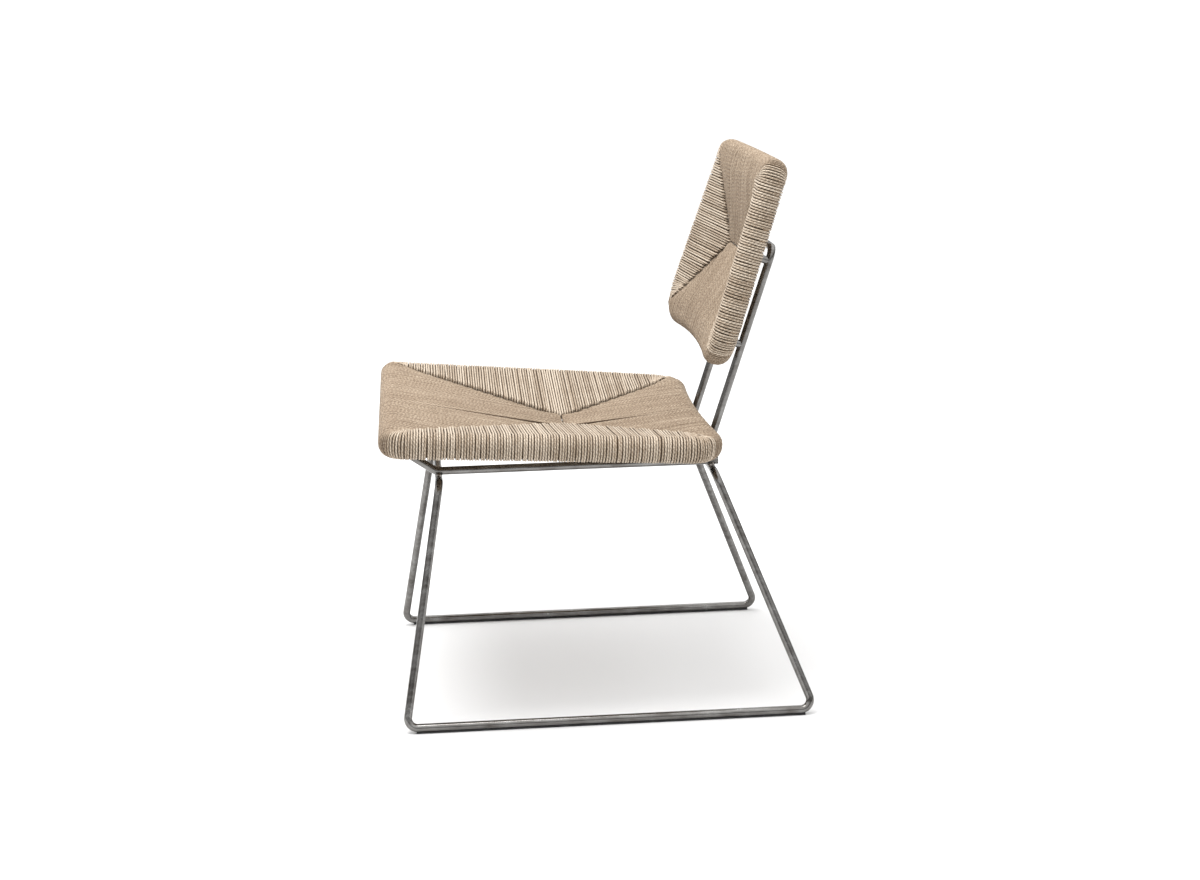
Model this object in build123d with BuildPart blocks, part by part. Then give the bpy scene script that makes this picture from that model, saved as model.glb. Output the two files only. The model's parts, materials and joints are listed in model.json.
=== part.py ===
from build123d import *
import os
from math import cos, radians, sin, tan

# A low side chair in millimetres: +Z up, the sitter faces -Y, +X is the sitter's left hand.
# The origin is on the floor, under the middle of the overall width and depth.

# Overall sizes
overall_depth = 624.0
seat_front_width = 626.0
seat_rear_width = 544.0
seat_depth = 506.0
seat_front_height = 433.0
seat_tilt = 4.1
back_top_width = 452.0
back_bottom_width = 536.0
back_height = 316.0
back_recline = 18.2
back_foot_y = 170.0
back_foot_z = 511.0

# Steel rod base
rod_diameter = 12.0
runner_length = 600.0
runner_spread = 556.0
leg_top_spread = 380.0
crossbar_height = 350.0
front_crossbar_setback = 61.0
rear_crossbar_setback = 132.0
corner_bend = 14.0
leg_top_bend = 20.0
glide_thickness = 3.0
glide_width = 7.0
glide_end_gap = 14.0
glide_seat = 0.8

# Seat carrier and back hoop, bent from the same rod
carrier_spread = 310.0
carrier_rise_start = 4.0
carrier_rise_bend = 20.0
carrier_corner_bend = 22.0
carrier_overrun = 9.0
hoop_spread = 200.0
hoop_recline = 18.57
hoop_length = 337.0
hoop_bend = 18.0
hoop_foot_lead = 4.5
weld_radius = 3.5
weld_offset = 5.5
weld_lift = 1.0
weld_ring_height = 0.9

# Wrapped panels: cord over a wooden frame
cord = 4.0
panel_thickness = 40.0
panel_corner = 38.0
panel_far_corner = 62.0
panel_edge_round = 17.0
crown_inset = 20.0
dish_depth = 33.0
seam_width = 3.0
seat_seam = 84.0
seat_seam_setback = 283.0
back_seam = 176.0
back_seam_setback = 151.0
seat_rear_bow = 13.0
back_bottom_bow = 11.0
back_curve = 13.0

# Wooden frames inside the wrapping
rail_width = 36.0
rail_edge_round = 14.5
block_side = 46.0
block_thickness = 14.0
dowel_diameter = 8.0
dowel_length = 40.0
dowel_spacing = 12.0

# Fixings
screw_diameter = 4.0
screw_head_diameter = 8.0
screw_head_height = 2.4
screw_bite = 20.0
front_rod_inset = 20.0
saddle_spread = 180.0
saddle_thickness = 2.0
saddle_width = 14.0
saddle_ear = 12.0
rear_plate_inset = 36.0
rear_plate_length = 44.0
rear_plate_width = 24.0
rear_plate_thickness = 3.0
rear_screw_offset = 14.0
strap_width = 24.0
strap_thickness = 2.0
strap_proud = 0.7
strap_end_gap = 12.0
strap_screw_inset = 24.0
strap_screw_length = 14.0
strap_screw_head = 1.2
standoff_diameter = 12.0
standoff_pin_diameter = 6.0
standoff_bite = 16.0
lower_standoff_inset = 34.0
upper_standoff_inset = 166.0
washer_diameter = 22.0
washer_thickness = 1.5

rod_radius = rod_diameter / 2
rail_thickness = panel_thickness - 2 * cord
runner_z = glide_thickness - glide_seat + rod_radius
leg_run = (runner_spread - leg_top_spread) / 2
rear_leg = Vector(-leg_run, -rear_crossbar_setback, crossbar_height - runner_z)
rear_turn = radians(Vector(0, 1, 0).get_angle(rear_leg))
runner_rear_y = overall_depth / 2 - rod_radius + corner_bend * (tan(rear_turn / 2) - 1)
runner_front_y = runner_rear_y - runner_length
front_crossbar_y = runner_front_y + front_crossbar_setback
rear_crossbar_y = runner_rear_y - rear_crossbar_setback
carrier_z = crossbar_height + rod_diameter
hoop_foot_y = rear_crossbar_y - hoop_foot_lead
rail_inner = cord + rail_width

# Corner radii of each outline at its straight edge and at its bowed edge
panel_corners = (panel_corner, panel_far_corner)
rail_corners = (panel_corner - cord, panel_far_corner - cord)

# The seam of each panel: its length, and its distance from the straight edge
seat_seam_line = (seat_seam, seat_seam_setback)
back_seam_line = (back_seam, back_seam_setback)

# Straight half width, bowed half width, length, bow and curve of each panel
seat_sizes = (seat_front_width / 2, seat_rear_width / 2, seat_depth, seat_rear_bow, 0)
back_sizes = (back_top_width / 2, back_bottom_width / 2, back_height, back_bottom_bow, back_curve)

# Each wrapped panel has its own plane: local y runs from the straight edge to the bowed edge,
# and local z points at the sitter.
seat_plane = Plane(
    origin=(0, -overall_depth / 2, seat_front_height),
    x_dir=(1, 0, 0),
    z_dir=(0, sin(radians(seat_tilt)), cos(radians(seat_tilt))),
)
back_plane = Plane(
    origin=(
        0,
        back_foot_y + back_height * sin(radians(back_recline)),
        back_foot_z + back_height * cos(radians(back_recline)),
    ),
    x_dir=(-1, 0, 0),
    z_dir=(0, -cos(radians(back_recline)), sin(radians(back_recline))),
)


def save(shape, name):
    shape.label = name
    export_step(shape, f"parts/{name}.step")


def rod_along(points, bends):
    with BuildPart() as rod:
        with BuildLine() as path:
            FilletPolyline(*points, radius=bends)
        with BuildSketch(Plane(origin=path.line @ 0, z_dir=path.line % 0)):
            Circle(rod_radius)
        sweep()
    return rod.part


def base_rod(side):
    # Half of the base: half a front crossbar, leg, runner, leg and half a rear crossbar.
    leg_x = side * leg_top_spread / 2
    runner_x = side * runner_spread / 2
    points = [
        (0, front_crossbar_y, crossbar_height),
        (leg_x, front_crossbar_y, crossbar_height),
        (runner_x, runner_front_y, runner_z),
        (runner_x, runner_rear_y, runner_z),
        (leg_x, rear_crossbar_y, crossbar_height),
        (0, rear_crossbar_y, crossbar_height),
    ]
    return rod_along(points, [leg_top_bend, corner_bend, corner_bend, leg_top_bend])


def runner_glide(side, runner):
    # A plastic strip that the runner sinks into, from bend to bend.
    front = runner_front_y + glide_end_gap
    rear = runner_rear_y - glide_end_gap
    with BuildPart() as glide:
        with BuildSketch(Plane.XZ.offset(-front)) as section:
            with Locations((side * runner_spread / 2, glide_thickness / 2)):
                RectangleRounded(glide_width, glide_thickness, 0.8)
        extrude(amount=front - rear)
        add(runner, mode=Mode.SUBTRACT)
    return glide.part


def front_rod_place():
    # Centre of the carrier's front cross rod, just under the seat's front rail.
    below = panel_thickness / 2 + rod_radius
    return seat_plane.from_local_coords(Vector(0, front_rod_inset, -below))


def carrier_rod():
    front = front_rod_place()
    half = carrier_spread / 2
    rear_y = rear_crossbar_y + carrier_overrun
    rise_y = front_crossbar_y - carrier_rise_start
    right = [(-half, rear_y, carrier_z), (-half, rise_y, carrier_z), (-half, front.Y, front.Z)]
    left = [(-x, y, z) for x, y, z in reversed(right)]
    bends = [carrier_rise_bend, carrier_corner_bend, carrier_corner_bend, carrier_rise_bend]
    return rod_along(right + left, bends)


def hoop_point(x, distance):
    lean = radians(hoop_recline)
    return (x, hoop_foot_y + distance * sin(lean), crossbar_height + distance * cos(lean))


def hoop_rod(base):
    half = hoop_spread / 2
    points = [
        hoop_point(half, 0),
        hoop_point(half, hoop_length),
        hoop_point(-half, hoop_length),
        hoop_point(-half, 0),
    ]
    with BuildPart() as hoop:
        add(rod_along(points, [hoop_bend, hoop_bend]))
        for rod in base:
            add(rod, mode=Mode.SUBTRACT)
    solids = hoop.part.solids().sort_by(SortBy.VOLUME)
    return Part() + solids[-1]


def crossing_welds(crossbar_y, spread, rods):
    # Beads in the crooks on both sides of each rod that stands or lies on a crossbar.
    places = [
        (side * spread / 2 + step, crossbar_y, crossbar_height + rod_radius + weld_lift)
        for side in (-1, 1)
        for step in (-weld_offset, weld_offset)
    ]
    with BuildPart() as beads:
        with Locations(*places):
            Sphere(weld_radius)
        for rod in rods:
            add(rod, mode=Mode.SUBTRACT)
    return beads.part


def butt_welds():
    # A low ring where the two halves of each crossbar meet.
    with BuildPart() as rings:
        for y in (front_crossbar_y, rear_crossbar_y):
            with BuildSketch(Plane.YZ.offset(-weld_ring_height)):
                with Locations((y, crossbar_height)):
                    Circle(rod_radius + weld_ring_height)
                    Circle(rod_radius, mode=Mode.SUBTRACT)
            extrude(amount=2 * weld_ring_height)
    return rings.part


def panel_outline(near_half, far_half, length, bow, inset, corners):
    # A tapered panel with rounded corners, whose far edge is drawn in by the bow at its middle.
    with BuildSketch() as outline:
        with BuildLine():
            Line((-near_half, 0), (near_half, 0))
            Line((near_half, 0), (far_half, length))
            ThreePointArc((far_half, length), (0, length - bow), (-far_half, length))
            Line((-far_half, length), (-near_half, 0))
        make_face()
        if inset > 0:
            offset(amount=-inset, kind=Kind.INTERSECTION)
        if corners is not None:
            near_corner, far_corner = corners
            fillet([v for v in outline.vertices() if v.Y < length / 2], near_corner)
            sharp = outline.vertices().sort_by(Axis.Y)[-2:]
            fillet(sharp, far_corner)
    return outline.sketch


def panel_slab(plane, sizes, thickness, inset, corners, edge_round):
    # A slab cut to the outline, curved away from the sitter across its width.
    near_half, far_half, length, bow, curve = sizes
    reach = max(near_half, far_half)
    half = thickness / 2
    across = Plane(origin=plane.origin, x_dir=plane.x_dir, z_dir=-plane.y_dir)
    with BuildPart() as slab:
        with BuildSketch(across):
            with BuildLine():
                if curve > 0:
                    ThreePointArc((-reach, half), (0, half - curve), (reach, half))
                    ThreePointArc((-reach, -half), (0, -half - curve), (reach, -half))
                else:
                    Line((-reach, half), (reach, half))
                    Line((-reach, -half), (reach, -half))
                Line((-reach, -half), (-reach, half))
                Line((reach, -half), (reach, half))
            make_face()
        extrude(amount=-length)
        with BuildSketch(plane.offset(-thickness - curve)):
            add(panel_outline(near_half, far_half, length, bow, inset, corners))
        extrude(amount=2 * (thickness + curve), mode=Mode.INTERSECT)
        walls = slab.faces().filter_by(lambda face: abs(face.normal_at().dot(plane.z_dir)) < 0.3)
        rims = [edge for edge in slab.edges() if is_rim(edge, walls)]
        fillet(rims, edge_round)
    return slab.part


def is_rim(edge, walls):
    # True for an edge between a side wall and the top or bottom face.
    owners = [wall for wall in walls if any(edge.is_same(other) for other in wall.edges())]
    return len(owners) == 1


def curve_drop(sizes, x):
    # How far the curved middle surface lies behind the plane at this distance from the middle.
    near_half, far_half, length, bow, curve = sizes
    return curve * (1 - (x / max(near_half, far_half)) ** 2)


def bow_at(sizes, x):
    near_half, far_half, length, bow, curve = sizes
    return bow * (1 - (x / far_half) ** 2)


def side_x(sizes, y, inset):
    # Distance from the middle to a line drawn inside the tapered side by the inset.
    near_half, far_half, length, bow, curve = sizes
    slope = (far_half - near_half) / length
    return near_half + slope * y - inset * (1 + slope**2) ** 0.5


def dish(plane, sizes, seam, sink):
    # The hollow that the crossed cords sink to, from the crown of the rim down to the seam,
    # or the same hollow set lower by a sink of one cord, which is where the rails have to end.
    near_half, far_half, length, bow, curve = sizes
    far_y = length - crown_inset - bow
    near_x = side_x(sizes, crown_inset, crown_inset)
    far_x = side_x(sizes, far_y, crown_inset)
    seam_length, seam_y = seam
    top = panel_thickness / 2 - sink
    with BuildPart() as hollow:
        with BuildSketch(plane.offset(top)):
            with BuildLine():
                Polyline(
                    (-near_x, crown_inset), (near_x, crown_inset), (far_x, far_y), (-far_x, far_y),
                    close=True,
                )
            make_face()
        with BuildSketch(plane.offset(top - dish_depth - curve)):
            with Locations((0, seam_y)):
                Rectangle(seam_length, seam_width)
        loft(ruled=True)
    return hollow.part


def wooden_frame(plane, sizes, seam):
    # Rails all round, whose inner edge slopes away under the sinking cords.
    near_half, far_half, length, bow, curve = sizes
    slab = panel_slab(plane, sizes, rail_thickness, cord, rail_corners, rail_edge_round)
    with BuildPart() as frame:
        add(slab)
        with BuildSketch(plane.offset(-panel_thickness - curve)):
            add(panel_outline(near_half, far_half, length, bow, rail_inner, None))
        extrude(amount=2 * (panel_thickness + curve), mode=Mode.SUBTRACT)
        add(dish(plane, sizes, seam, cord), mode=Mode.SUBTRACT)
    return frame.part


def cut_by_polygon(shape, plane, points, mode):
    deep = 2 * panel_thickness
    with BuildPart() as piece:
        add(shape)
        with BuildSketch(plane.offset(-deep)):
            with BuildLine():
                Polyline(*points, close=True)
            make_face()
        extrude(amount=2 * deep, mode=mode)
    return piece.part


def side_polygon(sizes, side):
    near_half, far_half, length, bow, curve = sizes
    far_y = length - rail_inner
    wide = side * 2 * max(near_half, far_half)
    near_x = side * side_x(sizes, rail_inner, rail_inner)
    far_x = side * side_x(sizes, far_y, rail_inner)
    return [(near_x, rail_inner), (wide, rail_inner), (wide, far_y), (far_x, far_y)]


def frame_rails(plane, sizes, frame, dowels):
    # Near rail, far rail and the rails on the local left and right, drilled for their dowels.
    near_half, far_half, length, bow, curve = sizes
    wide = 2 * max(near_half, far_half)
    near_strip = [(-wide, 0), (wide, 0), (wide, rail_inner), (-wide, rail_inner)]
    rails = {
        "near": cut_by_polygon(frame, plane, near_strip, Mode.INTERSECT),
        "low_x": cut_by_polygon(frame, plane, side_polygon(sizes, -1), Mode.INTERSECT),
        "high_x": cut_by_polygon(frame, plane, side_polygon(sizes, 1), Mode.INTERSECT),
    }
    far = cut_by_polygon(frame, plane, near_strip, Mode.SUBTRACT)
    for side in (-1, 1):
        far = cut_by_polygon(far, plane, side_polygon(sizes, side), Mode.SUBTRACT)
    rails["far"] = far
    return {place: minus(rail, [dowels]) for place, rail in rails.items()}


def minus(shape, tools):
    with BuildPart() as cut:
        add(shape)
        for tool in tools:
            add(tool, mode=Mode.SUBTRACT)
    return cut.part


def frame_dowels(plane, sizes, frame):
    # Two dowels along each side rail's axis at both of its ends, trimmed flush with the frame.
    near_half, far_half, length, bow, curve = sizes
    far_joint = length - rail_inner
    with BuildPart() as dowels:
        for joint_y in (rail_inner, far_joint):
            middle = side_x(sizes, joint_y, cord + rail_width / 2)
            for side in (-1, 1):
                for step in (-dowel_spacing / 2, dowel_spacing / 2):
                    x = side * middle + step
                    start = Vector(x, joint_y - dowel_length / 2, -curve_drop(sizes, x))
                    with BuildSketch(
                        Plane(origin=plane.from_local_coords(start), z_dir=plane.y_dir)
                    ):
                        Circle(dowel_diameter / 2)
                    extrude(amount=dowel_length)
        add(frame, mode=Mode.INTERSECT)
    return dowels.part


def corner_blocks(plane, sizes):
    # Glued triangular blocks in the four inside corners of the frame.
    near_half, far_half, length, bow, curve = sizes
    with BuildPart() as blocks:
        for corner_y, up in ((rail_inner, 1), (length - rail_inner, -1)):
            corner_x = side_x(sizes, corner_y, rail_inner)
            drop = curve_drop(sizes, corner_x - block_side / 2)
            for side in (-1, 1):
                points = [
                    (side * (corner_x - block_side), corner_y),
                    (side * corner_x, corner_y + up * block_side),
                    (side * (corner_x + block_side), corner_y - up * block_side),
                ]
                with BuildSketch(plane.offset(-drop - block_thickness / 2)):
                    add(panel_outline(near_half, far_half, length, bow, rail_inner, None))
                    with BuildSketch(mode=Mode.INTERSECT):
                        with BuildLine():
                            Polyline(*points, close=True)
                        make_face()
                extrude(amount=block_thickness)
    return blocks.part


def cord_regions(plane, sizes, seam, body):
    # The wrapping as four closed pieces that meet on the diagonals and along the seam.
    near_half, far_half, length, bow, curve = sizes
    seam_length, seam_y = seam
    reach = 1.4

    def beyond(side, corner):
        start = Vector(side * seam_length / 2, seam_y)
        end = start + (Vector(*corner) - start) * reach
        return (end.X, end.Y)

    low, high = (-seam_length / 2, seam_y), (seam_length / 2, seam_y)
    near_low, near_high = beyond(-1, (-near_half, 0)), beyond(1, (near_half, 0))
    far_low, far_high = beyond(-1, (-far_half, length)), beyond(1, (far_half, length))
    outlines = {
        "near": [low, near_low, near_high, high],
        "far": [high, far_high, far_low, low],
        "low_x": [low, far_low, near_low],
        "high_x": [high, near_high, far_high],
    }
    return {
        place: cut_by_polygon(body, plane, points, Mode.INTERSECT)
        for place, points in outlines.items()
    }


def rod_between(start, direction, diameter, length):
    with BuildPart() as rod:
        with BuildSketch(Plane(origin=start, z_dir=direction)):
            Circle(diameter / 2)
        extrude(amount=length)
    return rod.part


def screws(places, direction, length):
    # Each place is under the head's bearing face; the shank runs on along the direction.
    with BuildPart() as group:
        for place in places:
            add(rod_between(place, direction, screw_diameter, length))
            head = place - direction * screw_head_height
            add(rod_between(head, direction, screw_head_diameter, screw_head_height))
    return group.part


def front_saddles():
    # Strips bent round the front cross rod, each with one ear under the seat's front rail.
    under = -panel_thickness / 2
    rod_z = under - rod_radius
    outer = rod_radius + saddle_thickness
    ear_end = front_rod_inset + outer + saddle_ear
    with BuildPart() as saddles:
        for side in (-1, 1):
            start = side * saddle_spread / 2 - saddle_width / 2
            origin = seat_plane.from_local_coords(Vector(start, 0, 0))
            section = Plane(origin=origin, x_dir=seat_plane.y_dir, z_dir=seat_plane.x_dir)
            with BuildSketch(section):
                with Locations((front_rod_inset, rod_z)):
                    Circle(outer)
                with Locations((front_rod_inset, rod_z + rod_radius / 2)):
                    Rectangle(2 * outer, rod_radius)
                with Locations(((front_rod_inset + ear_end) / 2, under - saddle_thickness / 2)):
                    Rectangle(ear_end - front_rod_inset, saddle_thickness)
                with Locations((front_rod_inset, rod_z)):
                    Circle(rod_radius, mode=Mode.SUBTRACT)
                with Locations((front_rod_inset, rod_z + rod_radius)):
                    Rectangle(2 * rod_radius, 2 * rod_radius, mode=Mode.SUBTRACT)
                with Locations((front_rod_inset, under + outer)):
                    Rectangle(4 * outer, 2 * outer, mode=Mode.SUBTRACT)
            extrude(amount=saddle_width)
    return saddles.part


def front_screws():
    ear_middle = front_rod_inset + rod_radius + saddle_thickness + saddle_ear / 2
    under = -panel_thickness / 2 - saddle_thickness
    places = [
        seat_plane.from_local_coords(Vector(side * saddle_spread / 2, ear_middle, under))
        for side in (-1, 1)
    ]
    return screws(places, seat_plane.z_dir, saddle_thickness + cord + screw_bite)


def rear_mount_point():
    # The middle of the seat's underside, in line with the rear plates.
    local = Vector(0, seat_depth - rear_plate_inset, -panel_thickness / 2)
    return seat_plane.from_local_coords(local)


def rear_plate_y():
    return rear_mount_point().Y


def rear_underside():
    return rear_mount_point().Z


def rear_plates():
    with BuildPart() as plates:
        with BuildSketch(Plane.XY.offset(carrier_z + rod_radius)):
            with Locations(*[(side * carrier_spread / 2, rear_plate_y()) for side in (-1, 1)]):
                RectangleRounded(rear_plate_length, rear_plate_width, 4)
        extrude(amount=rear_plate_thickness)
    return plates.part


def rear_spacers(seat_slab):
    # Blocks between the plates and the underside of the sloping seat.
    level = carrier_z + rod_radius + rear_plate_thickness
    with BuildPart() as spacers:
        with BuildSketch(Plane.XY.offset(level)):
            with Locations(*[(side * carrier_spread / 2, rear_plate_y()) for side in (-1, 1)]):
                RectangleRounded(rear_plate_length, rear_plate_width, 4)
        extrude(amount=rear_underside() - level + panel_thickness / 2)
        add(seat_slab, mode=Mode.SUBTRACT)
    return spacers.part


def rear_screws():
    places = [
        Vector(
            side * carrier_spread / 2 + step,
            rear_plate_y(),
            carrier_z + rod_radius,
        )
        for side in (-1, 1)
        for step in (-rear_screw_offset, rear_screw_offset)
    ]
    length = rear_underside() - carrier_z - rod_radius + cord + screw_bite
    return screws(places, Vector(0, 0, 1), length)


def strap_level(sizes, x):
    # Local height of the strap's rear face, which stands a little proud of the rails' rear face.
    return -rail_thickness / 2 - curve_drop(sizes, x) - strap_proud


def back_strap(side):
    # A flat steel bar inside the back, from the top rail to the bottom rail.
    x = side * hoop_spread / 2
    length = back_height - bow_at(back_sizes, x) - 2 * strap_end_gap
    with BuildPart() as strap:
        with BuildSketch(back_plane.offset(strap_level(back_sizes, x))):
            with Locations((x, strap_end_gap + length / 2)):
                RectangleRounded(strap_width, length, 3)
        extrude(amount=strap_thickness)
    return strap.part


def strap_screws():
    # One screw holds each strap to the top rail; the lower stand-off's pin holds its other end.
    level = strap_level(back_sizes, hoop_spread / 2)
    with BuildPart() as group:
        for x in (-hoop_spread / 2, hoop_spread / 2):
            place = back_plane.from_local_coords(Vector(x, strap_screw_inset, level))
            add(rod_between(place, back_plane.z_dir, screw_diameter, strap_screw_length))
            head = place - back_plane.z_dir * strap_screw_head
            add(rod_between(head, back_plane.z_dir, screw_head_diameter, strap_screw_head))
    return group.part


def standoff_place(side, y):
    # Where a stand-off's axis meets the rear surface of the wrapped back.
    x = side * hoop_spread / 2
    local = Vector(x, y, -panel_thickness / 2 - curve_drop(back_sizes, x))
    return back_plane.from_local_coords(local)


def hoop_distance(place):
    # Distance along the back's rearward normal from a place to the hoop's centre line.
    lean = radians(hoop_recline)
    foot = Vector(place.X, hoop_foot_y, crossbar_height)
    normal = Vector(0, cos(lean), -sin(lean))
    return (foot - place).dot(normal) / (-back_plane.z_dir).dot(normal)


def standoffs(inset, bite, hoop, slab):
    # Turned studs welded to the hoop, with a thinner pin that runs into the back.
    rearward = -back_plane.z_dir
    with BuildPart() as studs:
        for side in (-1, 1):
            place = standoff_place(side, back_height - inset)
            start = place - rearward * cord
            reach = hoop_distance(place) + cord
            add(rod_between(start, rearward, standoff_diameter, reach))
        add(slab, mode=Mode.SUBTRACT)
        for side in (-1, 1):
            place = standoff_place(side, back_height - inset)
            start = place - rearward * (cord + bite)
            add(rod_between(start, rearward, standoff_pin_diameter, cord + bite + washer_thickness))
        add(hoop, mode=Mode.SUBTRACT)
    return studs.part


def standoff_washers(slab):
    rearward = -back_plane.z_dir
    with BuildPart() as washers:
        for side in (-1, 1):
            for inset in (lower_standoff_inset, upper_standoff_inset):
                place = standoff_place(side, back_height - inset)
                start = place - rearward * washer_thickness
                add(rod_between(start, rearward, washer_diameter, 2 * washer_thickness))
        add(slab, mode=Mode.SUBTRACT)
    return washers.part


os.makedirs("parts", exist_ok=True)

# Steel rod work
left_base = base_rod(1)
right_base = base_rod(-1)
carrier = carrier_rod()
hoop = hoop_rod([left_base, right_base])
save(left_base, "base_rod_left")
save(right_base, "base_rod_right")
save(carrier, "seat_carrier_rod")
save(runner_glide(1, left_base), "runner_glide_left")
save(runner_glide(-1, right_base), "runner_glide_right")
save(butt_welds(), "crossbar_butt_welds")
bases = [left_base, right_base]
save(crossing_welds(front_crossbar_y, carrier_spread, bases + [carrier]), "carrier_front_welds")
save(crossing_welds(rear_crossbar_y, carrier_spread, bases + [carrier]), "carrier_rear_welds")
save(crossing_welds(rear_crossbar_y, hoop_spread, bases + [hoop]), "hoop_foot_welds")

# Seat
seat_slab = panel_slab(seat_plane, seat_sizes, panel_thickness, 0, panel_corners, panel_edge_round)
seat_frame = wooden_frame(seat_plane, seat_sizes, seat_seam_line)
seat_blocks = corner_blocks(seat_plane, seat_sizes)
seat_pegs = frame_dowels(seat_plane, seat_sizes, seat_frame)
seat_fixings = [front_screws(), rear_screws()]
seat_hollow = dish(seat_plane, seat_sizes, seat_seam_line, 0)
seat_body = minus(seat_slab, [seat_hollow, seat_frame, seat_blocks] + seat_fixings)
seat_names = {"near": "front", "far": "rear", "high_x": "left", "low_x": "right"}
for place, rail in frame_rails(seat_plane, seat_sizes, seat_frame, seat_pegs).items():
    save(minus(rail, seat_fixings), f"seat_{seat_names[place]}_rail")
for place, region in cord_regions(seat_plane, seat_sizes, seat_seam_line, seat_body).items():
    save(region, f"seat_cord_{seat_names[place]}")
save(seat_blocks, "seat_corner_blocks")
save(seat_pegs, "seat_dowels")
save(minus(front_saddles(), seat_fixings), "seat_front_saddles")
save(minus(rear_plates(), seat_fixings), "seat_rear_plates")
save(minus(rear_spacers(seat_slab), seat_fixings), "seat_rear_spacers")
save(seat_fixings[0], "seat_front_screws")
save(seat_fixings[1], "seat_rear_screws")

# Back
back_slab = panel_slab(back_plane, back_sizes, panel_thickness, 0, panel_corners, panel_edge_round)
back_frame = wooden_frame(back_plane, back_sizes, back_seam_line)
back_blocks = corner_blocks(back_plane, back_sizes)
back_pegs = frame_dowels(back_plane, back_sizes, back_frame)
straps = {"left": back_strap(-1), "right": back_strap(1)}
lower_studs = standoffs(lower_standoff_inset, standoff_bite, hoop, back_slab)
upper_studs = standoffs(upper_standoff_inset, strap_thickness - strap_proud, hoop, back_slab)
pins = [strap_screws(), lower_studs, upper_studs]
back_hollow = dish(back_plane, back_sizes, back_seam_line, 0)
inside = [back_hollow, back_frame, back_blocks] + list(straps.values()) + pins
back_body = minus(back_slab, inside)
back_names = {"near": "top", "far": "bottom", "high_x": "right", "low_x": "left"}
for place, rail in frame_rails(back_plane, back_sizes, back_frame, back_pegs).items():
    save(minus(rail, list(straps.values()) + pins), f"back_{back_names[place]}_rail")
for place, region in cord_regions(back_plane, back_sizes, back_seam_line, back_body).items():
    save(region, f"back_cord_{back_names[place]}")
save(back_blocks, "back_corner_blocks")
save(back_pegs, "back_dowels")
for side, strap in straps.items():
    save(minus(strap, pins), f"back_strap_{side}")
save(pins[0], "back_strap_screws")
save(lower_studs, "back_standoffs_lower")
save(upper_studs, "back_standoffs_upper")
save(minus(standoff_washers(back_slab), [lower_studs, upper_studs]), "back_standoff_washers")
save(hoop, "back_hoop_rod")
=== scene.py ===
import json
import math

import bpy
import numpy as np
from mathutils import Matrix, Vector


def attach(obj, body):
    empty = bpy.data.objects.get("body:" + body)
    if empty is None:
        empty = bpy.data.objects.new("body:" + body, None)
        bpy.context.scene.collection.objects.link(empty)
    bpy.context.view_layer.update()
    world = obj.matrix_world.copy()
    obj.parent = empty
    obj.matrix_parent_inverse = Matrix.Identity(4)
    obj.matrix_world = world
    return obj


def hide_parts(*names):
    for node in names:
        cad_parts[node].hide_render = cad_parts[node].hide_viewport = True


# A low side chair: a steel rod base, and a seat and a back wound with paper cord.
# Metres, +Z up, the sitter faces -Y and +X is the sitter's left hand.

# Camera
CAMERA_PLACE = (3.3336, -0.2572, 1.0718)
CAMERA_YAW = -4.866
CAMERA_PITCH = 11.906
CAMERA_ROLL = -1.203
CAMERA_LENS = 66.0

# Wrapped panels: half widths, length, bow and curve as in the CAD
PANEL_THICKNESS = 0.040
NEAR_CORNER, FAR_CORNER = 0.038, 0.062
EDGE_BEND = 0.0178
CROWN_INSET = 0.020
RAIL_INSET = 0.040
DISH_SHARE = 0.95
DISH_DEPTH = 0.033
SEAT_FRONT_PLACE = (0.0, -0.312, 0.433)
SEAT_TILT = 4.1
SEAT_SIZES = (0.313, 0.272, 0.506, 0.013, 0.0)
SEAT_SEAM = (0.084, 0.283)
BACK_FOOT_Y, BACK_FOOT_Z = 0.170, 0.511
BACK_RECLINE = 18.2
BACK_SIZES = (0.226, 0.268, 0.316, 0.011, 0.013)
BACK_SEAM = (0.176, 0.151)

# Paper cord
CORD_PITCH = 0.0040
CORNER_PITCH = 0.0043
CORD_RADIUS = 0.00168
CORD_SIDES = 8
CORD_LAY = 0.017
CORD_PLIES = 3
TUCK_UNDER = 0.0048
TUCK_DROP = 0.0048
LAP_OVER = 0.0020
LAP_STEP = 0.0055
LAP_LIFT = 0.0026
SEAM_HALF = 0.0006
WANDER = 0.00036
CORNER_REACH = 0.023
# Cord tone ranges: a random spread from cord to cord, set lighter on the side windings as painted light
# and darker on the front and rear windings as painted shade
SIDE_TONE_AND_LIGHT = (0.6, 1.45)
END_TONE_AND_SHADE = (-0.05, 0.4)

# How a cord bends round its rail, as radii and as shares of its run, and how it wanders
END_BEND = 0.0022
CROWN_BEND = 0.003
SHOULDER_BEND = 0.006
CROWN_SHARE = 0.55
SHOULDER_SHARE = 0.8
BEND_SHARE = 0.96
LONG_BEND = 0.01
DRIFT, SWAY, LIFT_SWAY = 0.5, 0.8, 0.5
THICKNESS_SPREAD = 0.02
UNDER_LAYER = 0.0016

# Studio
SKY_LEVELS = ((0.0, 0.16), (0.16, 0.2), (0.45, 0.75), (1.0, 1.0))
SKY_STRENGTH = 1.8
KEY_PLACE, KEY_TARGET = (0.3, -0.7, 3.3), (0, 0, 0.4)
KEY_SIZE = 1.9
KEY_POWER = 90
FLOOR_RADIUS = 600.0
FLOOR_SIDES = 96

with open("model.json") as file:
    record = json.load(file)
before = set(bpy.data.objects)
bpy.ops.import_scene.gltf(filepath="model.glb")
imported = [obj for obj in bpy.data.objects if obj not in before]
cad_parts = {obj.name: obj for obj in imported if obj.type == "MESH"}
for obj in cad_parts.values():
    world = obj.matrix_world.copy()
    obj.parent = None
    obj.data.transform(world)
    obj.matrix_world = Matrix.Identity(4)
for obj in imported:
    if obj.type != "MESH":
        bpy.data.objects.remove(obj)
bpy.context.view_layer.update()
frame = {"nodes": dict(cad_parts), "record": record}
rng = np.random.default_rng(41)


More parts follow.
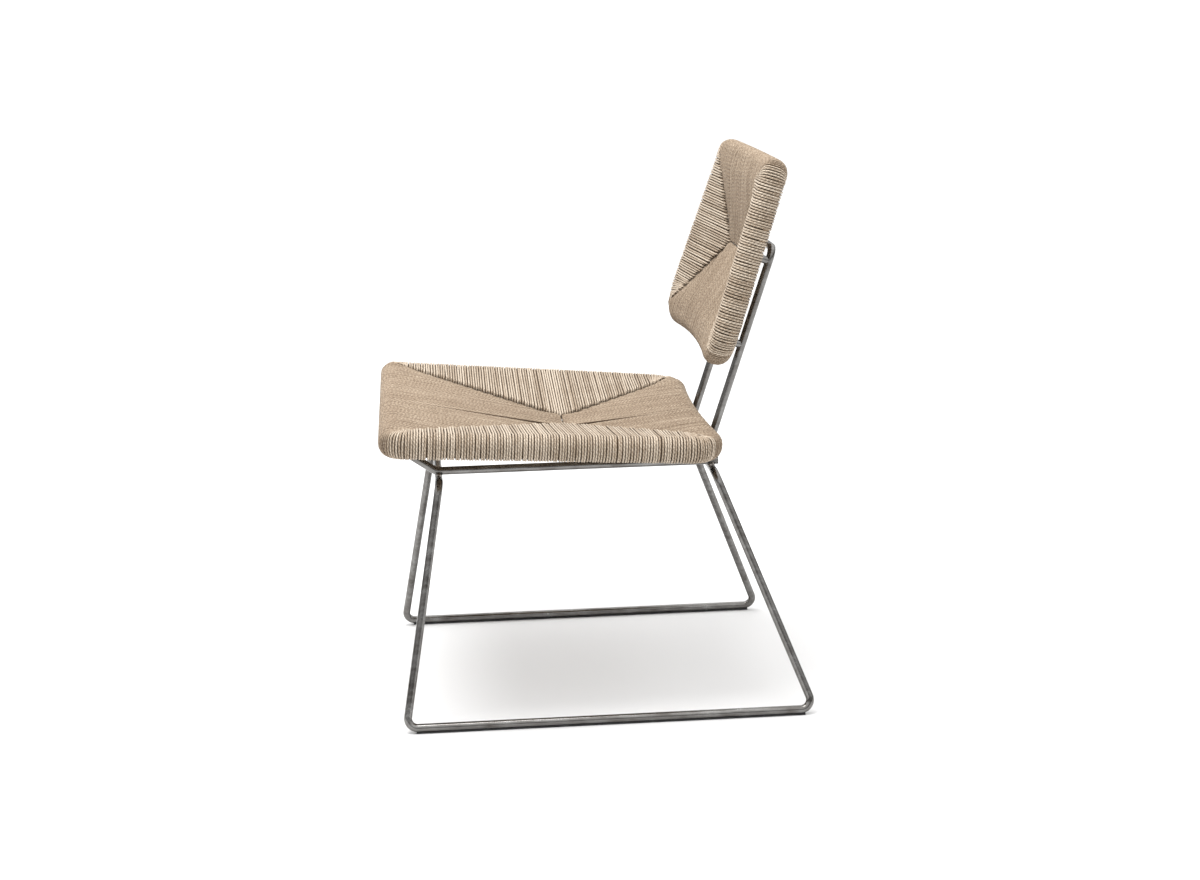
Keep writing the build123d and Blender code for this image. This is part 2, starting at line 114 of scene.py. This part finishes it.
class Value:
    """A number that a finish works out, so that its maths reads as maths."""

    def __init__(self, finish, socket):
        self.finish = finish
        self.socket = socket

    def _with(self, operation, first, second):
        return self.finish.maths(operation, first, second)

    def __add__(self, other):
        return self._with("ADD", self, other)

    def __rsub__(self, other):
        return self._with("SUBTRACT", other, self)

    def __mul__(self, other):
        return self._with("MULTIPLY", self, other)

    __rmul__ = __mul__


class Nodes:
    """A node tree whose nodes are added one by one, with their settings and inputs."""

    def __init__(self, tree):
        self.tree = tree

    def node(self, kind, settings=None, inputs=None):
        made = self.tree.nodes.new(kind)
        for name, value in (settings or {}).items():
            if name == "stops":
                self.set_stops(made.color_ramp, value)
            else:
                setattr(made, name, value)
        for socket, value in (inputs or {}).items():
            self.feed(made.inputs[socket], value)
        return made

    def set_stops(self, ramp, stops):
        while len(ramp.elements) < len(stops):
            ramp.elements.new(0.5)
        for element, (position, colour) in zip(ramp.elements, stops):
            element.position = position
            element.color = (*colour, 1.0)

    def feed(self, socket, value):
        if isinstance(value, Value):
            value = value.socket
        if isinstance(value, bpy.types.NodeSocket):
            self.tree.links.new(value, socket)
        else:
            socket.default_value = value

    def blend(self, share, first, second):
        made = self.node("ShaderNodeMix", {"data_type": "RGBA"}, {0: share, 6: first, 7: second})
        return made.outputs[2]

    def ramp(self, value, stops):
        made = self.node("ShaderNodeValToRGB", {"stops": stops}, {0: value})
        return made.outputs[0]


class Finish(Nodes):
    """One procedural finish for a surface."""

    def __init__(self, name, **constants):
        self.material = bpy.data.materials.new(name)
        self.material.use_nodes = True
        super().__init__(self.material.node_tree)
        self.shader = self.tree.nodes["Principled BSDF"]
        for socket, value in constants.items():
            self.shader.inputs[socket.replace("_", " ")].default_value = value

    def maths(self, operation, first, second=None):
        inputs = {0: first} if second is None else {0: first, 1: second}
        made = self.node("ShaderNodeMath", {"operation": operation}, inputs)
        return Value(self, made.outputs[0])

    def place(self, scale=(1, 1, 1)):
        coordinates = self.node("ShaderNodeTexCoord")
        scaled = self.node("ShaderNodeMapping", None, {0: coordinates.outputs["Object"], 3: scale})
        return scaled.outputs[0]

    def noise(self, scale, detail=2.0, stretch=(1, 1, 1)):
        inputs = {"Vector": self.place(stretch), "Scale": scale, "Detail": detail}
        return Value(self, self.node("ShaderNodeTexNoise", None, inputs).outputs[0])

    def limits(self, value, low, high, out_low=0.0, out_high=1.0):
        made = self.node(
            "ShaderNodeMapRange",
            {"clamp": True},
            {0: value, 1: low, 2: high, 3: out_low, 4: out_high},
        )
        return Value(self, made.outputs[0])

    def surface(self, colour, roughness=None, height=None, depth=0.0):
        self.feed(self.shader.inputs["Base Color"], colour)
        if roughness is not None:
            self.feed(self.shader.inputs["Roughness"], roughness)
        if height is not None:
            inputs = {"Strength": 1.0, "Distance": depth, "Height": height}
            bump = self.node("ShaderNodeBump", None, inputs)
            self.feed(self.shader.inputs["Normal"], bump.outputs[0])
        return self.material


def paper_cord():
    """Twisted paper cord: three plies with a fine fibre speckle, darker in the lay as painted shade and
    on each cord's flanks as painted shade.
    """
    finish = Finish("paper_cord", Sheen_Weight=0.08, Specular_IOR_Level=0.28)
    lay = finish.node("ShaderNodeAttribute", {"attribute_name": "lay"})
    tint = Value(finish, finish.node("ShaderNodeAttribute", {"attribute_name": "tint"}).outputs["Fac"])
    parts = finish.node("ShaderNodeSeparateXYZ", None, {0: lay.outputs["Vector"]})
    round_cord = finish.maths("ARCTAN2", parts.outputs["Y"], parts.outputs["X"])
    turns = Value(finish, parts.outputs["Z"])
    phase = round_cord * (CORD_PLIES / 2) + turns * (math.pi * CORD_PLIES)
    ply = finish.maths("ABSOLUTE", finish.maths("SINE", phase))
    flank = finish.maths("ABSOLUTE", parts.outputs["X"])
    # painted shade: darker in the grooves of the lay and on the flanks that face the neighbouring cords
    shade = finish.maths(
        "MAXIMUM", 0.75 * (1 - finish.limits(ply, 0.0, 0.62)), 0.9 * finish.limits(flank, 0.55, 0.95)
    )
    speckle = finish.noise(420.0, 3.0)
    patches = finish.noise(22.0, 3.0)
    straw = finish.ramp(
        # the tone attribute adds each cord's random tone and its region's painted light or painted shade
        finish.limits(speckle * 1.1 + patches * 0.3 + tint * 0.35, 0.55, 1.25),
        [(0.0, (0.212, 0.15, 0.098)), (0.5, (0.38, 0.296, 0.213)), (1.0, (0.62, 0.525, 0.415))],
    )
    # the dark brown that the painted shade blends towards
    colour = finish.blend(shade, straw, (0.078, 0.047, 0.026, 1))
    roughness = finish.limits(speckle, 0.3, 0.7, 0.66, 0.84)
    return finish.surface(colour, roughness, ply * 0.8 + speckle * 0.2, 0.0006)


def shaded_cord():
    """The layers of cord that lie under the outer winding and show only in its gaps, coloured very dark
    as painted shade.
    """
    finish = Finish("shaded_under_winding", Specular_IOR_Level=0.1)
    speckle = finish.noise(700.0, 2.0)
    # painted shade: near-black brown for the cord that shows in the gaps between outer cords
    colour = finish.ramp(speckle, [(0.3, (0.05, 0.032, 0.018)), (0.7, (0.12, 0.08, 0.05))])
    return finish.surface(colour, finish.limits(speckle, 0.3, 0.7, 0.8, 0.95), speckle, 0.0006)


def satin_steel(name, dark, light, rough=0.3):
    """Steel with a satin finish: long drawn streaks and cloudy handling marks."""
    finish = Finish(name, Metallic=1.0)
    clouds = finish.noise(34.0, 4.0)
    drawn = finish.noise(420.0, 3.0, (1, 0.08, 0.3))
    colour = finish.blend(finish.limits(clouds * 0.4 + drawn * 0.6, 0.3, 0.7), dark, light)
    roughness = finish.limits(clouds * 0.5 + drawn * 0.5, 0.3, 0.7, rough - 0.06, rough + 0.09)
    return finish.surface(colour, roughness, drawn, 0.00003)


def weld_steel():
    """Weld beads: rippled, browner and rougher than the rod."""
    finish = Finish("weld_steel", Metallic=1.0)
    ripple = finish.noise(900.0, 3.0)
    heat = finish.noise(120.0, 2.0)
    colour = finish.ramp(heat, [(0.3, (0.16, 0.14, 0.12)), (0.7, (0.33, 0.31, 0.29))])
    return finish.surface(colour, finish.limits(ripple, 0.3, 0.7, 0.32, 0.55), ripple, 0.0002)


def plain_wood(name, dark, light, stretch):
    """Sawn hardwood with its grain along the stretch's short axis."""
    finish = Finish(name, Specular_IOR_Level=0.35)
    grain = finish.noise(46.0, 5.0, stretch)
    pores = finish.noise(640.0, 2.0, stretch)
    colour = finish.blend(finish.limits(grain * 0.7 + pores * 0.3, 0.35, 0.65), dark, light)
    return finish.surface(colour, finish.limits(pores, 0.3, 0.7, 0.5, 0.72), grain + pores, 0.0002)


def dull_plastic(name, dark, light, rough):
    """Moulded plastic or rubber with a fine even texture and a few scuffs."""
    finish = Finish(name, Specular_IOR_Level=0.4)
    texture = finish.noise(1800.0, 2.0)
    scuffs = finish.noise(60.0, 5.0)
    colour = finish.blend(finish.limits(scuffs, 0.45, 0.72), dark, light)
    roughness = finish.limits(texture * 0.4 + scuffs * 0.6, 0.3, 0.7, rough - 0.08, rough + 0.1)
    return finish.surface(colour, roughness, texture, 0.00008)


class WoundPanel:
    """A frame wound with cord, in its own plane: x across, y from the straight edge to the
    bowed edge, z to the sitter."""

    def __init__(self, place, axes, sizes, seam):
        self.place = np.array(place)
        self.axes = np.array(axes)
        self.near_half, self.far_half, self.length, self.bow, self.curve = sizes
        self.seam_half, self.seam_y = seam[0] / 2, seam[1]
        self.slope = (self.far_half - self.near_half) / self.length

    def drop(self, x):
        """How far the curved panel lies behind its plane."""
        return self.curve * (1 - (x / max(self.near_half, self.far_half)) ** 2)

    def side_x(self, y):
        return self.near_half + self.slope * y

    def far_y(self, x):
        return self.length - self.bow * (1 - (x / self.far_half) ** 2)

    def front(self, points):
        """Height of the sitter's side of the winding over points in the plane."""
        x, y = np.abs(points[..., 0]), points[..., 1]
        side = self.side_x(y) - CROWN_INSET
        shares = [
            (y - CROWN_INSET) / (self.seam_y - CROWN_INSET),
            (self.far_y(x) - CROWN_INSET - y) / (self.length - self.bow - CROWN_INSET - self.seam_y),
            (side - x) / (side - self.seam_half),
        ]
        sunk = np.clip(np.min(shares, axis=0), 0, 1) * (DISH_DEPTH + self.curve) * DISH_SHARE
        level = PANEL_THICKNESS / 2 - self.drop(x)
        return np.minimum(level, PANEL_THICKNESS / 2 - sunk)

    def rear(self, points):
        return -PANEL_THICKNESS / 2 - self.drop(points[..., 0])

    def meeting_y(self, x, far):
        """Where a cord running along y meets a cord from the side, or the seam."""
        half, end = (self.far_half, self.length) if far else (self.near_half, 0.0)
        share = np.clip((np.abs(x) - self.seam_half) / (half - self.seam_half), 0, 1)
        return self.seam_y + (end - self.seam_y) * share

    def meeting_x(self, y):
        """Where a cord running across meets a cord from the near or the far edge."""
        near = self.seam_half + (self.near_half - self.seam_half) * (1 - y / self.seam_y)
        far_share = (y - self.seam_y) / (self.length - self.seam_y)
        far = self.seam_half + (self.far_half - self.seam_half) * far_share
        return np.where(y < self.seam_y, near, far)

    def corner(self, far):
        """Centre of the rounded corner on +x, and the angles of its two edges' normals."""
        side_normal = -math.atan(self.slope)
        if far:
            point = np.array([self.far_half, self.length])
            lean = math.atan(2 * self.bow / self.far_half)
            edge_normal = math.pi / 2 + lean
        else:
            point = np.array([self.near_half, 0.0])
            edge_normal = -math.pi / 2
        middle = (side_normal + edge_normal) / 2
        radius = FAR_CORNER if far else NEAR_CORNER
        reach = radius / math.cos((edge_normal - side_normal) / 2)
        centre = point - reach * np.array([math.cos(middle), math.sin(middle)])
        return centre, radius, side_normal, edge_normal

    def corner_winds(self, far, on_side):
        """Cords that fan round a corner on +x, from the last straight one to its middle."""
        centre, radius, side_normal, edge_normal = self.corner(far)
        start = side_normal if on_side else edge_normal
        middle = (side_normal + edge_normal) / 2
        count = max(2, round(abs(middle - start) * radius / CORNER_PITCH))
        share = ((np.arange(count) + 0.5) / count)[:, None]
        angle = start + (middle - start) * share
        outward = np.concatenate([np.cos(angle), np.sin(angle)], axis=1)
        rim = centre + radius * outward
        first_rim = centre + radius * np.array([math.cos(start), math.sin(start)])
        if on_side:
            first = np.array([self.meeting_x(np.array(first_rim[1])), first_rim[1]])
        else:
            first = np.array([first_rim[0], self.meeting_y(np.array(first_rim[0]), far)])
        tip = centre + (radius - CORNER_REACH) * np.array([math.cos(middle), math.sin(middle)])
        meet = first + (tip - first) * share
        return rim, meet, first_rim

    def winds(self, region):
        """Rim points and meeting points of every cord in one region."""
        if region in ("near", "far"):
            far = region == "far"
            rim, meet, first = self.corner_winds(far, False)
            count = round(2 * first[0] / CORD_PITCH)
            x = first[0] * ((2 * np.arange(count) + 1) / count - 1)
            edge = self.far_y(x) if far else np.zeros(count)
            straight = np.stack([x, edge], axis=1)
            ends = np.stack([x, self.meeting_y(x, far)], axis=1)
            flip = np.array([-1.0, 1.0])
            rims = np.concatenate([rim[::-1] * flip, straight, rim])
            meets = np.concatenate([meet[::-1] * flip, ends, meet])
            return rims, meets
        near_rim, near_meet, near_first = self.corner_winds(False, True)
        far_rim, far_meet, far_first = self.corner_winds(True, True)
        count = round((far_first[1] - near_first[1]) / CORD_PITCH)
        y = near_first[1] + (far_first[1] - near_first[1]) * (np.arange(count) + 0.5) / count
        straight = np.stack([self.side_x(y), y], axis=1)
        ends = np.stack([self.meeting_x(y), y], axis=1)
        rims = np.concatenate([near_rim[::-1], straight, far_rim])
        meets = np.concatenate([near_meet[::-1], ends, far_meet])
        if region == "low_x":
            rims, meets = rims * (-1, 1), meets * (-1, 1)
        return rims, meets

    def loops(self, region, inset, wander):
        """Each cord as a closed loop round the rail: (cord, point, xyz), with soft bends."""
        rims, meets = self.winds(region)
        run = meets - rims
        reach = np.linalg.norm(run, axis=1)
        inward = run / reach[:, None]
        sideways = np.stack([-inward[:, 1], inward[:, 0]], axis=1)
        lapped = region in ("low_x", "high_x")
        at_seam = (np.abs(meets[:, 1] - self.seam_y) < 1e-6) & (not lapped)
        count = len(rims)
        lap = LAP_OVER + LAP_STEP * (np.arange(count) // 2 % 2)
        past = np.where(at_seam, -CORD_RADIUS - SEAM_HALF, lap if lapped else TUCK_UNDER)
        lift = np.where(at_seam, 0.0, LAP_LIFT if lapped else -TUCK_DROP)
        crown = np.minimum(CROWN_INSET, CROWN_SHARE * reach)
        shoulder = np.minimum(RAIL_INSET, SHOULDER_SHARE * reach)

        def plan(distance):
            return rims + inward * np.broadcast_to(distance, (count,))[:, None]

        def noise(size):
            return rng.normal(0.0, 1.0, count) * size * wander

        corner_front = PANEL_THICKNESS / 2 - self.drop(rims[:, 0])
        corner_rear = self.rear(rims)
        end = plan(reach)
        stations = [
            (reach + past, self.rear(end) + inset, END_BEND),
            (inset, corner_rear + inset, EDGE_BEND),
            (inset, corner_front - inset, EDGE_BEND),
            (crown, self.front(plan(crown)) - inset, CROWN_BEND),
            (shoulder, self.front(plan(shoulder)) - inset, SHOULDER_BEND),
            (reach + past, self.front(end) + lift - inset, END_BEND),
        ]
        drift = noise(1.0)
        corners, bends = [], []
        for distance, height, bend in stations:
            flat = plan(distance) + sideways * (drift * DRIFT + noise(SWAY))[:, None]
            corners.append(np.column_stack([flat, height + noise(LIFT_SWAY)]))
            bends.append(bend)
        corners = np.stack(corners, axis=1)
        return soft_bends(corners, bends), sideways

    def to_row(self, points):
        return self.place + points @ self.axes


def soft_bends(corners, bends):
    """Closed polylines with each corner eased by a short curve."""
    total = corners.shape[1]
    points = []
    for i in range(total):
        here, before, after = corners[:, i], corners[:, i - 1], corners[:, (i + 1) % total]
        back, ahead = before - here, after - here
        back_length = np.linalg.norm(back, axis=1)[:, None]
        ahead_length = np.linalg.norm(ahead, axis=1)[:, None]
        back_share = bends[i] / (bends[i] + bends[i - 1])
        ahead_share = bends[i] / (bends[i] + bends[(i + 1) % total])
        room = np.minimum(back_length * back_share, ahead_length * ahead_share)
        trim = np.minimum(bends[i], BEND_SHARE * room)
        start = here + back / back_length * trim
        stop = here + ahead / ahead_length * trim
        steps = 6 if bends[i] > LONG_BEND else 3
        for turn in np.linspace(0, math.pi / 2, steps):
            leaving, joining = 1 - math.sin(turn), 1 - math.cos(turn)
            points.append(here + (start - here) * leaving + (stop - here) * joining)
    return np.stack(points, axis=1)


def tube_mesh(name, loops, sideways, radius, shade, finish):
    """Closed tubes along the loops, each with its lay round and along it for the finish."""
    count, stations, _ = loops.shape
    along = np.roll(loops, -1, axis=1) - np.roll(loops, 1, axis=1)
    along /= np.linalg.norm(along, axis=2, keepdims=True)
    flat = np.column_stack([sideways, np.zeros(count)])[:, None, :]
    flat = flat - along * np.sum(flat * along, axis=2, keepdims=True)
    flat /= np.linalg.norm(flat, axis=2, keepdims=True)
    up = np.cross(along, flat)
    angle = 2 * math.pi * np.arange(CORD_SIDES) / CORD_SIDES
    thick = radius * (1 + rng.normal(0, THICKNESS_SPREAD, (count, 1, 1, 1)))
    ring = (
        np.cos(angle)[None, None, :, None] * flat[:, :, None, :]
        + np.sin(angle)[None, None, :, None] * up[:, :, None, :]
    )
    vertices = (loops[:, :, None, :] + thick * ring).reshape(-1, 3)

    step = np.linalg.norm(np.roll(loops, -1, axis=1) - loops, axis=2)
    travelled = np.cumsum(step, axis=1) - step
    whole = step.sum(axis=1, keepdims=True)
    turns = travelled / whole * np.round(whole / CORD_LAY) + rng.random((count, 1))
    lay = np.empty((count, stations, CORD_SIDES, 3), np.float32)
    lay[..., 0] = np.cos(angle)
    lay[..., 1] = np.sin(angle)
    lay[..., 2] = turns[:, :, None]
    # each cord's tone: random within its region's range, a range set lighter on the sides as painted
    # light and darker at the ends as painted shade
    tint = shade[0] + (shade[1] - shade[0]) * rng.random(count)
    tint = np.repeat(tint.astype(np.float32), stations * CORD_SIDES)

    index = np.arange(count * stations * CORD_SIDES).reshape(count, stations, CORD_SIDES)
    ahead, beside = np.roll(index, -1, axis=1), np.roll(index, -1, axis=2)
    faces = np.stack([index, beside, np.roll(ahead, -1, axis=2), ahead], axis=3)
    piece = mesh_piece(name, vertices, faces.reshape(-1, 4), finish)
    attribute = piece.data.attributes.new("lay", "FLOAT_VECTOR", "POINT")
    attribute.data.foreach_set("vector", lay.ravel())
    attribute = piece.data.attributes.new("tint", "FLOAT", "POINT")
    attribute.data.foreach_set("value", tint)
    return piece


def mesh_piece(name, vertices, faces, finish):
    mesh = bpy.data.meshes.new(name)
    sides = faces.shape[1]
    mesh.vertices.add(len(vertices))
    mesh.vertices.foreach_set("co", vertices.astype(np.float32).ravel())
    mesh.loops.add(faces.size)
    mesh.loops.foreach_set("vertex_index", faces.astype(np.int32).ravel())
    mesh.polygons.add(len(faces))
    mesh.polygons.foreach_set("loop_start", np.arange(len(faces), dtype=np.int32) * sides)
    mesh.update(calc_edges=True)
    mesh.polygons.foreach_set("use_smooth", np.ones(len(faces), bool))
    mesh.materials.append(finish)
    mesh.validate()
    piece = bpy.data.objects.new(name, mesh)
    bpy.context.scene.collection.objects.link(piece)
    return piece


def shaded_under_winding(name, loops, finish):
    """One skin just inside a region's loops, the cord that lies under the outer layer, open at its first
    and last loop.
    """
    # its finish paints this skin dark as painted shade in the gaps of the outer winding
    count, stations, _ = loops.shape
    index = np.arange(count * stations).reshape(count, stations)
    here, there = index[:-1], index[1:]
    faces = np.stack([here, np.roll(here, -1, axis=1), np.roll(there, -1, axis=1), there], axis=2)
    return mesh_piece(name, loops.reshape(-1, 3), faces.reshape(-1, 4), finish)


def wind(panel, region, node, cord_finish, shaded_under_finish):
    loops, sideways = panel.loops(region, CORD_RADIUS, WANDER)
    # side windings take the lighter range as painted light, the front, rear, top and bottom windings the
    # darker range as painted shade
    shade = SIDE_TONE_AND_LIGHT if region in ("low_x", "high_x") else END_TONE_AND_SHADE
    outer = tube_mesh(node + "_winding", loops, sideways, CORD_RADIUS, shade, cord_finish)
    # the dark skin under the winding, painted shade in the gaps between cords
    inner_loops, _ = panel.loops(region, CORD_RADIUS + UNDER_LAYER, 0.0)
    inner = shaded_under_winding(node + "_under_winding", inner_loops, shaded_under_finish)
    for piece in (outer, inner):
        points = np.empty(len(piece.data.vertices) * 3, np.float32)
        piece.data.vertices.foreach_get("co", points)
        row = panel.to_row(points.reshape(-1, 3).astype(float))
        piece.data.vertices.foreach_set("co", row.astype(np.float32).ravel())
        piece.data.update()
        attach(piece, "root")
        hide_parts(node)


def camera():
    yaw, pitch, roll = (math.radians(a) for a in (CAMERA_YAW, CAMERA_PITCH, CAMERA_ROLL))
    forward = Vector(
        (-math.cos(yaw) * math.cos(pitch), -math.sin(yaw) * math.cos(pitch), -math.sin(pitch))
    )
    level = forward.cross(Vector((0, 0, 1))).normalized()
    upright = level.cross(forward)
    right = math.cos(roll) * level + math.sin(roll) * upright
    up = -math.sin(roll) * level + math.cos(roll) * upright
    data = bpy.data.cameras.new("camera")
    data.lens = CAMERA_LENS
    data.sensor_width = 36.0
    data.clip_end = 2000.0
    made = bpy.data.objects.new("camera", data)
    turn = Matrix((right, up, -forward)).transposed().to_4x4()
    made.matrix_world = Matrix.Translation(CAMERA_PLACE) @ turn
    bpy.context.scene.collection.objects.link(made)
    bpy.context.scene.camera = made


def soft_light(name, place, target, size, power):
    data = bpy.data.lights.new(name, "AREA")
    data.shape = "DISK"
    data.size = size
    data.energy = power
    made = bpy.data.objects.new(name, data)
    made.location = place
    made.rotation_mode = "QUATERNION"
    made.rotation_quaternion = (Vector(target) - Vector(place)).to_track_quat("-Z", "Y")
    bpy.context.scene.collection.objects.link(made)


def studio():
    """A bright ceiling, dimmer towards the walls, which the lens sees as plain white, and one
    broad key lamp over a pale floor."""
    world = bpy.data.worlds.new("studio")
    world.use_nodes = True
    sky = Nodes(world.node_tree)
    direction = sky.node("ShaderNodeTexCoord")
    height = sky.node("ShaderNodeSeparateXYZ", None, {0: direction.outputs["Generated"]})
    glow = sky.ramp(height.outputs["Z"], [(place, (level,) * 3) for place, level in SKY_LEVELS])
    lens = sky.node("ShaderNodeLightPath")
    seen = sky.blend(lens.outputs["Is Camera Ray"], glow, (1, 1, 1, 1))
    background = sky.tree.nodes["Background"]
    sky.feed(background.inputs["Color"], seen)
    sky.feed(background.inputs["Strength"], SKY_STRENGTH)
    bpy.context.scene.world = world
    bpy.context.scene.view_settings.view_transform = "Standard"
    soft_light("key", KEY_PLACE, KEY_TARGET, KEY_SIZE, KEY_POWER)
    angles = np.linspace(0, 2 * math.pi, FLOOR_SIDES, endpoint=False)
    rim = np.column_stack([np.cos(angles), np.sin(angles), np.zeros(FLOOR_SIDES)]) * FLOOR_RADIUS
    finish = Finish("pale_floor", Roughness=0.9, Specular_IOR_Level=0.0)
    clouds = finish.noise(0.8, 2.0)
    colour = finish.ramp(clouds, [(0.3, (0.76, 0.76, 0.76)), (0.7, (0.77, 0.77, 0.77))])
    finish.surface(colour)
    floor = mesh_piece("floor", rim, np.arange(FLOOR_SIDES)[None, :], finish.material)


camera()
studio()

tilt, recline = math.radians(SEAT_TILT), math.radians(BACK_RECLINE)
seat = WoundPanel(
    SEAT_FRONT_PLACE,
    [(1, 0, 0), (0, math.cos(tilt), -math.sin(tilt)), (0, math.sin(tilt), math.cos(tilt))],
    SEAT_SIZES,
    SEAT_SEAM,
)
back_top = (
    0,
    BACK_FOOT_Y + BACK_SIZES[2] * math.sin(recline),
    BACK_FOOT_Z + BACK_SIZES[2] * math.cos(recline),
)
back = WoundPanel(
    back_top,
    [(-1, 0, 0), (0, -math.sin(recline), -math.cos(recline)), (0, -math.cos(recline), math.sin(recline))],
    BACK_SIZES,
    BACK_SEAM,
)
cord_finish, shaded_under_finish = paper_cord(), shaded_cord()
seat_places = {"near": "front", "far": "rear", "high_x": "left", "low_x": "right"}
back_places = {"near": "top", "far": "bottom", "high_x": "right", "low_x": "left"}
for region, place in seat_places.items():
    wind(seat, region, "seat_cord_" + place, cord_finish, shaded_under_finish)
for region, place in back_places.items():
    wind(back, region, "back_cord_" + place, cord_finish, shaded_under_finish)

finishes = {
    "steel_rod": satin_steel("steel_rod", (0.10, 0.09, 0.082, 1), (0.27, 0.267, 0.26, 1), 0.2),
    "weld_steel": weld_steel(),
    "plate_steel": satin_steel("plate_steel", (0.18, 0.18, 0.18, 1), (0.3, 0.3, 0.3, 1), 0.4),
    "screw_steel": satin_steel("screw_steel", (0.3, 0.3, 0.3, 1), (0.5, 0.5, 0.5, 1), 0.34),
    "paper_cord": cord_finish,
    "frame_wood": plain_wood("frame_wood", (0.42, 0.28, 0.16, 1), (0.6, 0.43, 0.27, 1), (0.2, 1, 1)),
    "dowel_wood": plain_wood("dowel_wood", (0.5, 0.36, 0.22, 1), (0.68, 0.52, 0.35, 1), (1, 0.2, 1)),
    "glide_plastic": dull_plastic("glide_plastic", (0.012, 0.012, 0.013, 1), (0.04, 0.04, 0.04, 1), 0.5),
    "spacer_rubber": dull_plastic("spacer_rubber", (0.02, 0.02, 0.02, 1), (0.05, 0.05, 0.05, 1), 0.7),
}
for part in frame["record"]["subparts"]:
    node = frame["nodes"][part["node"]]
    node.data.materials.clear()
    node.data.materials.append(finishes[part["material_slot"]])
